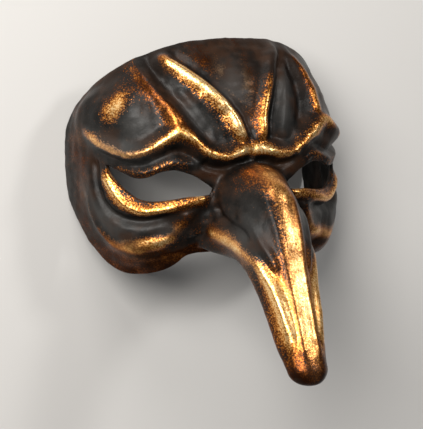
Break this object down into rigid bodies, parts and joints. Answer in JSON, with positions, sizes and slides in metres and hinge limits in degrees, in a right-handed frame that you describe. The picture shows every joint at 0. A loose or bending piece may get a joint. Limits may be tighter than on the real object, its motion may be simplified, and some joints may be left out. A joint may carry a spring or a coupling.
{
  "type": "long-nosed carnival half mask",
  "caption": "Moulded papier-mache half mask with a folded forehead, open eye holes and a long drooping hollow nose, finished in black rubbed with gold.",
  "frame": {"origin": "centre of the bounding box, in the plane of the side rims that the mask lies on", "axes": "+X to the right of someone who faces the mask, +Y from the end of the nose up to the forehead, +Z out of the face"},
  "size_m": [0.177, 0.1995, 0.1682],
  "materials": {
    "gilded_black": "papier-mache lacquered satin black, rubbed with bright gold on the folds and burnt copper at the borders"
  },
  "bodies": {
    "root": {"mask_shell": "gilded_black"}
  },
  "joints": []
}
